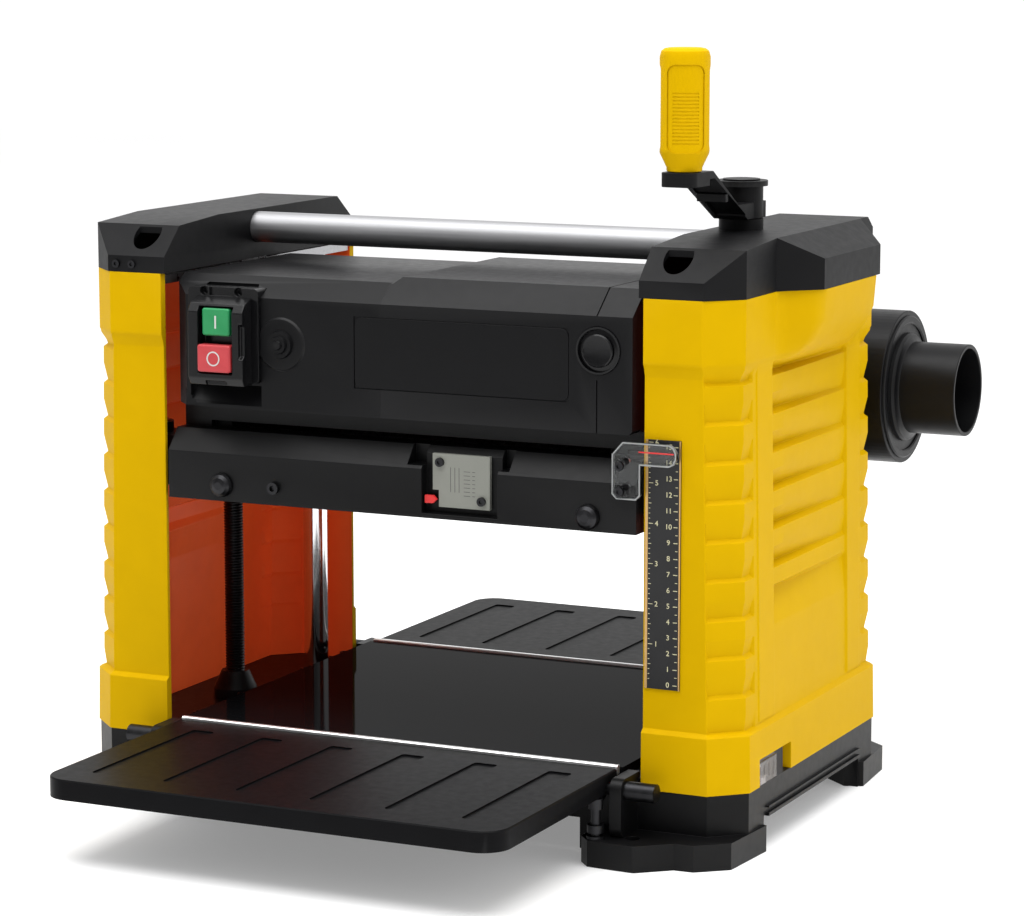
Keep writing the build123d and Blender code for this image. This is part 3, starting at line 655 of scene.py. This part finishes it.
def scale_face():
    """Centimetres on the right, inches in eighths on the left, and the strip's side rails."""
    low, high = (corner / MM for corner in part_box("scale_strip"))
    front = low.y
    raised, middle = (front - PRINT, front), front - PRINT / 2
    bm = bmesh.new()
    for number in range(16):
        z = SCALE_ZERO + CENTIMETRE * number
        add_digits(bm, number, 189.0, middle, z)
        block((192.4, 195.2), raised, (z - 0.25, z + 0.25), bm)
        if number < 15:
            block((193.6, 195.2), raised, (z + 4.8, z + 5.2), bm)
    for number in range(1, 7):
        add_digits(bm, number, 181.0, middle, SCALE_ZERO + INCH * number)
    for eighth in range(1, 49):
        z = SCALE_ZERO + INCH / 8 * eighth
        length = 3.0 if eighth % 8 == 0 else 1.8 if eighth % 4 == 0 else 1.1
        block((175.6, 175.6 + length), raised, (z - 0.2, z + 0.2), bm)
    settle(made("scale_print", bm), "cream", "frame")
    rails = bmesh.new()
    for x, width in ((low.x, 1.7), (high.x - 0.9, 0.9)):
        block((x, x + width), (front - 0.25, front + 0.2), (low.z, high.z), rails)
    settle(made("scale_side_rails", rails), "bronze", "frame")


# ---- motor cover ----
LEFT_TOP, RIGHT_TOP, HOLLOW_TOP = 352.0, 356.0, 353.3
COVER_X, SPLIT_X = 165, -10
COVER_WALL = 3
PANEL_Y, PANEL_Z = (-136, -134.2), (285, 331.5)
SEAM_X = (140.6, 141.5)
BRUSH_X, BRUSH_Z = 142, 318.5


def cover_profile(top, inset):
    """The motor cover's section as (y, z) points, set in by a distance.

    An inset section runs on below the cover's open foot, so that it cuts right through.
    """
    foot = 266.8 - (3 if inset else 0)
    return [
        (-135 + inset, foot), (-135 + inset, 340 - 0.4 * inset),
        (-115 + 0.4 * inset, top - inset), (28 - 0.2 * inset, top - inset),
        (68 - 0.7 * inset, 342 - inset), (90 - inset, 312 - 0.4 * inset),
        (90 - inset, foot),
    ]


def cover_bay(inset):
    """The hollow that the switch sits in, as (y, z) points."""
    return [
        (-140, 262), (-134.9 + inset, 269 - inset), (-126 + inset, 281 - inset),
        (-126 + inset, 362), (-140, 362),
    ]


def cover_left():
    """The half with the hollow for the switch, whose wall follows it on the inside."""
    section = cover_profile(LEFT_TOP, 0)
    cover = made("motor_cover_left_half", prism(section, "x", -COVER_X, SPLIT_X))
    inner = cover_profile(HOLLOW_TOP, COVER_WALL)
    hollow = made("hollow", prism(inner, "x", -162.6, SPLIT_X + 1))
    hollow_end = prism([(-163, -136), (-147, -136), (-163, -117)], "z", 262, 362)
    carve(hollow, prism(cover_bay(COVER_WALL), "x", -153, -94), hollow_end)
    bay = prism(cover_bay(0), "x", -150, -97)
    end = prism([(-166, -136), (-152, -136), (-166, -122)], "z", 262, 362)
    low_step = prism([(-160, 262), (-140, 262), (-166, 292), (-166, 282)], "y", -136, -133.4)
    hole = disc("y", -130, 300, 6.0, 80, 95)
    panel = block((-29, SPLIT_X + 1), PANEL_Y, PANEL_Z)
    slot = prism(rounded((-143, -104), (343, 347.5), 1.5), "y", -127, -122)
    carve(cover, bay, end, hole, panel, low_step, slot)
    combine(cover, [hollow])
    settle(cover, "black", "carriage", "motor_cover_left", slot="black_plastic", edge=0.8)


def cover_right():
    """The half with the brush cap and the thin seam near its end."""
    section = cover_profile(RIGHT_TOP, 0)
    cover = made("motor_cover_right_half", prism(section, "x", SPLIT_X, COVER_X))
    inner = cover_profile(HOLLOW_TOP, COVER_WALL)
    hollow = prism(inner, "x", SPLIT_X - 1, COVER_X - COVER_WALL)
    ramp = prism([(-11, LEFT_TOP), (-11, 362), (3, 362), (-8, LEFT_TOP)], "y", -140, 92)
    # The seam runs from the top of the front to the foot at the back. A short line at the
    # front's foot continues it.
    around, within = cover_profile(RIGHT_TOP + 1, -1), cover_profile(RIGHT_TOP, 1)
    seam = prism(around[1:] + within[:0:-1], "x", *SEAM_X)
    foot = block(SEAM_X, (-136, -134), (266, 300))
    panel = block((SPLIT_X - 1, 122), PANEL_Y, PANEL_Z)
    pocket = disc("y", BRUSH_X, BRUSH_Z, 15.2, -136, -133.4)
    corner = prism([(162, 266), (166, 266), (166, 270)], "y", -136, -120)
    carve(cover, hollow, ramp, seam, foot, panel, pocket, corner)
    settle(cover, "black", "carriage", "motor_cover_right", slot="black_plastic", edge=0.8)


def blank_panel():
    """The plain panel: a thin outline with nothing written in it."""
    low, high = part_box("name_panel")
    x, z = (low.x / MM, high.x / MM), (low.z / MM, high.z / MM)
    panel = made("blank_front_panel", prism(rounded(x, z, 5), "y", -134.9, -133.8))
    settle(panel, "panel", "carriage", "name_panel", slot="panel_black", edge=0.3)


def round_caps():
    """The slotted brush cap and the stepped boss on the motor cover's front."""
    section = [(0, -134.6), (0, -136.6), (7.5, -137.0), (9.6, -137.4), (10.4, -136.8),
               (10.7, -134.4), (13.2, -134.0), (13.6, -136.0), (14.8, -136.0),
               (15.0, -133.6), (9, -133.5)]
    cap = made("brush_cap", lathe(section, "y", BRUSH_X, BRUSH_Z))
    carve(cap, block((133, 151), (-138, -136.9), (317.3, 319.7)))
    settle(cap, "black_gloss", "carriage", slot="black_plastic")
    boss = [(0, -135.2), (0, -141.8), (2.6, -141.8), (3.2, -140.4), (5.4, -140.4),
            (6.0, -138.6), (8.6, -138.6), (9.3, -136.4), (16.4, -136.2), (17.6, -135.0),
            (9, -134.9)]
    dish = made("round_boss", lathe(boss, "y", -82, 310.5))
    settle(dish, "black", "carriage", "brush_caps", slot="black_plastic")


# ---- dust hood ----
HOOD_RIBS = (-112, -68, -24, 20, 64, 108)
HOOD_SCREWS = (-148, -2, 148)


def hood_details():
    """The outlet's collar, the drum's rim, and the ribs and screws of the dust hood."""
    low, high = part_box("dust_outlet")
    y, z = (low.y + high.y) / 2 / MM, (low.z + high.z) / 2 / MM
    start = low.x / MM
    collar = [(31.6, start - 0.2), (37.6, start - 0.2), (37.6, start + 2.2),
              (36.2, start + 4.0), (33.2, start + 4.6), (31.6, start + 6.0)]
    rim = [(44, start - 1), (49.5, start - 1), (49.5, start + 0.9), (48.5, start + 1.6),
           (45, start + 1.6), (44, start + 0.9)]
    settle(made("outlet_collar", lathe(collar, "x", y, z)), "black", "carriage")
    settle(made("drum_face_rim", lathe(rim, "x", y, z)), "black", "carriage")
    ribs, screws = bmesh.new(), bmesh.new()
    for x in HOOD_RIBS:
        section = [(185, 229), (188.4, 231), (188.4, 289), (185, 291)]
        prism(section, "x", x - 1.4, x + 1.4, ribs)
    settle(made("hood_ribs", ribs), "black", "carriage", edge=0.4)
    head = [(0, 185.5), (4.2, 185.5), (4.2, 187.6), (3.3, 188.9), (1.7, 189.2), (1.7, 187.6),
            (0, 187.6)]
    for x in HOOD_SCREWS:
        for height in (232.0, 288.0):
            lathe(head, "y", x, height, screws, steps=24)
    settle(made("hood_screws", screws), "blacksteel", "carriage")


# ---- switch ----
def switch():
    """The switch's mounting plate and its case, hollowed for the two keys."""
    low, high = (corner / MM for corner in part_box("switch_plate"))
    outline = rounded((low.x, high.x), (low.z + 2, 346), 3)
    plate = made("switch_mount", prism(outline, "y", -138.5, -126.1))
    ears = bmesh.new()
    for x in (-137, -111.5):
        disc("y", x, 343.5, 3.0, -139, -134, ears, 24)
    bridge = block((-133, -115.5), (-139, -136.5), (340.5, 349))
    carve(plate, ears, bridge)
    settle(plate, "black_gloss", "carriage", "switch_plate", slot="black_plastic", edge=0.6)

    low, high = (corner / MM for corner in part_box("switch_box"))
    section = [(low.y, low.z + 5), (low.y, 331), (low.y + 4, 336.5), (-138.4, 340),
               (-138.4, low.z), (low.y + 3, low.z)]
    case = made("switch_case", prism(section, "x", low.x - 1.5, high.x + 2))
    front = block((-135.2, -109.8), (-152, -140.9), (291.0, 334.6))
    slot = block((-130, -115), (-152, -147), (280, 286))
    notch = [(-152, 300), (-148, 303), (-148, 322), (-152, 325)]
    side = prism(notch, "x", high.x - 1, high.x + 4)
    carve(case, front, slot, side)
    settle(case, "black_gloss", "carriage", "switch_box", slot="black_plastic", edge=0.6)


def key(name, node, body, finish, sign, half_width):
    """A push button with its generic sign."""
    low, high = (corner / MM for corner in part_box(node))
    middle_x, middle_z = (low.x + high.x) / 2, (low.z + high.z) / 2
    x, z = (middle_x - half_width, middle_x + half_width), (middle_z - 8.9, middle_z + 8.9)
    cap = made(name, prism(rounded(x, z, 1.6), "y", low.y, high.y))
    settle(cap, finish, body, node, slot=finish + "_button", edge=1.0)
    face, root = low.y - 0.12, low.y + 0.3
    if sign == "bar":
        x, z = (middle_x - 0.6, middle_x + 0.6), (middle_z - 4.2, middle_z + 4.2)
        mark = prism(rounded(x, z, 0.3), "y", face, root)
    else:
        ring = [(3.9, root), (3.9, face), (4.8, face), (4.8, root)]
        mark = lathe(ring, "y", middle_x, middle_z)
    settle(made(name + "_sign", mark), "white", body)


# ---- gauge and pointer ----
def gauge():
    """Plain lines on the gauge plate, in place of its print."""
    low, _ = (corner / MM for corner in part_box("gauge_plate"))
    y, width = (low.y - 0.06, low.y + 0.05), 0.35
    lines = bmesh.new()
    for x in (low.x + 12.5, low.x + 15.5, low.x + 18.5):
        block((x, x + width), y, (low.z + 10, low.z + 26), lines)
    for row in range(7):
        z = low.z + 8 + 2.6 * row
        block((low.x + 22, low.x + 26.5), y, (z, z + width), lines)
        block((low.x + 28, low.x + 30), y, (z, z + width), lines)
    settle(made("gauge_print", lines), "grey_ink", "carriage")


def inset_outline(points, by):
    """An outline moved inward by a distance, for one drawn anticlockwise."""
    moved = []
    corners = [Vector(p) for p in points]
    for i, here in enumerate(corners):
        before, after = corners[i - 1], corners[(i + 1) % len(corners)]
        one, two = (here - before).normalized(), (after - here).normalized()
        inward = Vector((-one.y - two.y, one.x + two.x))
        inward /= max(0.4, inward.length_squared / 2)
        moved.append(tuple(here + inward * by))
    return moved


def pointer_bracket():
    """The clear bracket with a pale rim of painted highlight along its edges and a red hairline
    over the scale.
    """
    low, high = (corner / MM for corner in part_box("pointer_bracket"))
    left, right, bottom, top = low.x, high.x - 1, low.z, high.z + 4
    outline = [
        (left + 3, bottom), (left + 16, bottom), (left + 19, bottom + 3), (left + 19, top - 14),
        (right - 5, top - 14), (right - 2, top - 12.5), (right, top - 9), (right, top - 5),
        (right - 2, top - 1.5), (right - 5, top), (left + 7, top), (left, top - 8),
        (left, bottom + 3),
    ]
    plate = made("clear_bracket", prism(outline, "y", low.y + 0.2, high.y))
    holes = bmesh.new()
    for z in (bottom + 8, high.z - 8):
        disc("y", left + 9, z, 2.6, low.y - 1, high.y + 1, holes, 24)
    carve(plate, holes)
    settle(plate, "clear", "carriage", "pointer_bracket", slot="clear_plastic", edge=0.3)
    # Painted highlight: a pale rim stands in for the light that the clear plastic's edges catch.
    rim = made("bracket_painted_highlight_rim", prism(outline, "y", low.y, high.y - 0.6))
    carve(rim, prism(inset_outline(outline, 0.8), "y", low.y - 1, high.y + 1))
    settle(rim, "frost", "carriage", edge=0.15)
    hair = block((right - 25, right - 1.5), (low.y - 0.05, low.y + 0.4), (257.1, 257.9))
    settle(made("pointer_hairline", hair), "arrow", "carriage")


def depth_stop():
    """The smoky stop block with three grooves in its outer face."""
    low, high = (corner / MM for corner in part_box("depth_stop"))
    stop = copied("smoky_stop_block", "depth_stop")
    grooves = bmesh.new()
    for part in (0.25, 0.5, 0.75):
        y = low.y + (high.y - low.y) * part
        block((high.x - 0.8, high.x + 1), (y - 0.6, y + 0.6), (low.z + 3, high.z - 3), grooves)
    carve(stop, grooves)
    settle(stop, "smoke", "stop_slider", "depth_stop", slot="smoke_plastic", edge=0.5)


# ---- crank grip ----
GRIP_TURNS = (25, 145, 265)


def grip():
    """The grip with its three grooved panels and a closed pocket for the head of its pin."""
    low, high = (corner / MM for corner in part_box("crank_grip"))
    x, y = (low.x + high.x) / 2, (low.y + high.y) / 2
    radius = (high.x - low.x) / 2 - 0.9
    base, top = low.z, high.z
    pin_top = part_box("grip_pin")[1].z / MM
    outline = [
        (4.4, base), (radius - 5.0, base), (radius - 4.6, base + 0.8),
        (radius - 4.6, base + 2.4), (radius - 0.5, base + 11), (radius, base + 14),
        (radius, top - 5.5), (radius - 1.0, top - 2.0), (radius - 3.0, top - 0.5),
        (radius - 5.5, top), (0, top), (0, pin_top + 1.5), (8, pin_top + 1.5),
        (8, pin_top - 3), (4.4, pin_top - 3),
    ]
    handle = made("crank_handle_grip", lathe(outline, "z", x, y, steps=96))
    panels, grooves = bmesh.new(), bmesh.new()
    for turn in GRIP_TURNS:
        spin = Matrix.Translation((x, y, 0)) @ Matrix.Rotation(math.radians(turn), 4, "Z")
        face = prism(rounded((-11.4, 11.4), (base + 12, top - 10), 5), "y", -radius - 3, -8)
        add_turned(panels, face, spin)
        for step in range(15):
            z = base + 17 + 2.2 * step
            add_turned(grooves, block((-8, 8), (-radius - 3, -8), (z, z + 1.0)), spin)
    # Each tool keeps only what lies outside a cylinder, so that it cuts to an even depth.
    for tools, depth in ((panels, 0.7), (grooves, 1.0)):
        ring = made("ring", tools)
        carve(ring, disc("z", x, y, radius - depth, base, top, steps=96))
        tool = bmesh.new()
        tool.from_mesh(ring.data)
        bmesh.ops.scale(tool, vec=(1 / MM,) * 3, verts=tool.verts)
        bpy.data.objects.remove(ring)
        carve(handle, tool)
    settle(handle, "yellow", "grip", "crank_grip", slot="yellow_grip", edge=0.25)


def add_turned(bm, piece, spin):
    """Adds one small shape to another after turning it into place."""
    mesh = bpy.data.meshes.new("turned")
    piece.to_mesh(mesh)
    piece.free()
    mesh.transform(spin)
    bm.from_mesh(mesh)
    bpy.data.meshes.remove(mesh)


# ---- lead screws ----
THREAD_PITCH, CREST, ROOT = 2.0, 6.9, 6.2


def lead_screw(name, node, body):
    """A screw with a ring groove at every pitch in place of its thread."""
    low, high = (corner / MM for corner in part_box(node))
    x, y = (low.x + high.x) / 2, (low.y + high.y) / 2
    profile = [(0, low.z), (ROOT, low.z), (CREST, low.z + 0.8)]
    z = low.z + 20
    while z < high.z - 20:
        profile += [(CREST, z - 0.3), (ROOT, z + 0.5), (ROOT, z + 0.9), (CREST, z + 1.7)]
        z += THREAD_PITCH
    profile += [(CREST, high.z - 1), (ROOT, high.z), (0, high.z)]
    screw = made(name, lathe(profile, "z", x, y, steps=28))
    settle(screw, "blacksteel", body, node, slot="black_steel")


# ---- chain ----
LINK_PITCH = 6.35


def chain():
    """The drive chain: side plates and rollers along its loop round both sprockets."""
    low, high = (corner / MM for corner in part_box("drive_chain"))
    radius = (high.y - low.y) / 2 - 1.6
    y0, half = (low.y + high.y) / 2, (high.x - low.x) / 2 - radius - 1.6
    straight, bend = 2 * half, math.pi * radius
    loop = 2 * straight + 2 * bend
    count = 2 * round(loop / (2 * LINK_PITCH))
    pitch = loop / count

    def along(distance):
        """The (x, y) at a distance along the loop."""
        d = distance % loop
        if d < straight:
            return -half + d, y0 - radius
        if d < straight + bend:
            turn = (d - straight) / radius - math.pi / 2
            return half + radius * math.cos(turn), y0 + radius * math.sin(turn)
        if d < 2 * straight + bend:
            return half - (d - straight - bend), y0 + radius
        turn = (d - 2 * straight - bend) / radius + math.pi / 2
        return -half + radius * math.cos(turn), y0 + radius * math.sin(turn)

    bm = bmesh.new()
    middle = (low.z + high.z) / 2
    for number in range(count):
        one, two = Vector(along(number * pitch)), Vector(along((number + 1) * pitch))
        direction = (two - one).normalized()
        across = Vector((-direction.y, direction.x)) * 1.35
        tip = direction * 0.9
        outline = [
            one - tip + across * 0.6, one - tip - across * 0.6, one - across, two - across,
            two + tip - across * 0.6, two + tip + across * 0.6, two + across, one + across,
        ]
        lift = 1.5 if number % 2 else 2.1
        for side in (-1, 1):
            z = middle + side * lift
            prism([tuple(p) for p in outline], "z", z - 0.27, z + 0.27, bm)
        disc("z", one.x, one.y, 1.1, middle - 1.2, middle + 1.2, bm, 10)
        disc("z", one.x, one.y, 0.6, low.z + 0.05, high.z - 0.05, bm, 8)
    settle(made("lift_chain_links", bm), "steel", "frame", "drive_chain", slot="plain_steel")


# ---- stage, light and camera ----
def make_stage():
    bm = bmesh.new()
    bmesh.ops.create_grid(bm, x_segments=2, y_segments=2, size=6)
    mesh = bpy.data.meshes.new("floor")
    bm.to_mesh(mesh)
    floor = link("floor", mesh)
    material, tree, shader = new_material("pale_floor")
    color = tint(tree, noise(tree, 1.5), (0.76, 0.76, 0.76), (0.78, 0.78, 0.78))
    tree.links.new(color, shader.inputs["Base Color"])
    shader.inputs["Roughness"].default_value = 0.7
    shader.inputs["Specular IOR Level"].default_value = 0.1
    shader.inputs["Emission Color"].default_value = (1, 1, 1, 1)
    shader.inputs["Emission Strength"].default_value = 0.25
    mesh.materials.append(material)


def area_light(name, spot, aim, size, power):
    data = bpy.data.lights.new(name, "AREA")
    data.shape = "RECTANGLE"
    data.size, data.size_y = size
    data.energy = power
    light = link(name, data)
    light.location = spot
    light.rotation_euler = (Vector(aim) - Vector(spot)).to_track_quat("-Z", "Y").to_euler()


def make_light():
    """Three softboxes, in a world that is brighter behind the machine and above it."""
    world = bpy.data.worlds.new("studio")
    world.use_nodes = True
    tree = world.node_tree
    tree.nodes["Background"].inputs["Color"].default_value = (1, 1, 1, 1)
    coords = tree.nodes.new("ShaderNodeTexCoord")
    facing = tree.nodes.new("ShaderNodeVectorMath")
    facing.operation = "DOT_PRODUCT"
    facing.inputs[1].default_value = (0, 1, 0.9)
    level = tree.nodes.new("ShaderNodeMapRange")
    level.inputs["From Min"].default_value = -0.9
    level.inputs["From Max"].default_value = 0.6
    level.inputs["To Min"].default_value = 0.16
    level.inputs["To Max"].default_value = 1.08
    tree.links.new(coords.outputs["Generated"], facing.inputs[0])
    tree.links.new(facing.outputs["Value"], level.inputs["Value"])
    tree.links.new(level.outputs["Result"], tree.nodes["Background"].inputs["Strength"])
    bpy.context.scene.world = world
    bpy.context.scene.view_settings.view_transform = "Standard"
    centre = (0, 0, 0.2)
    area_light("top_softbox", (0.1, -0.55, 2.3), centre, (2.8, 2.0), 84)
    area_light("front_softbox", (-0.7, -2.6, 1.3), centre, (1.8, 1.4), 2)
    area_light("right_softbox", (2.4, -0.5, 1.0), centre, (1.4, 1.4), 4)


def make_camera():
    data = bpy.data.cameras.new("camera")
    data.sensor_width = SENSOR
    data.lens = LENS
    data.clip_end = 20
    camera = link("camera", data)
    back = Vector((
        math.sin(AZIMUTH) * math.cos(ELEVATION),
        -math.cos(AZIMUTH) * math.cos(ELEVATION),
        math.sin(ELEVATION),
    ))
    camera.location = AIM + DISTANCE * back
    camera.rotation_euler = (math.pi / 2 - ELEVATION, 0, AZIMUTH)
    bpy.context.scene.camera = camera


def main():
    dress_nodes()
    softened_copies()
    tower(1)
    tower(-1)
    table("infeed_table_channelled", "infeed_table", "front_table", (-289, -163))
    table("outfeed_table_channelled", "outfeed_table", "rear_table", (163, 298))
    bed_beads()
    scale_face()
    cover_left()
    cover_right()
    blank_panel()
    round_caps()
    hood_details()
    switch()
    key("start_key_cap", "start_button", "start_key", "green", "bar", 10.1)
    key("stop_key_cap", "stop_button", "stop_key", "red", "ring", 12.0)
    gauge()
    pointer_bracket()
    depth_stop()
    grip()
    lead_screw("left_screw_thread", "left_lead_screw", "left_screw")
    lead_screw("right_screw_thread", "right_lead_screw", "crank")
    chain()
    make_stage()
    make_light()
    make_camera()


main()
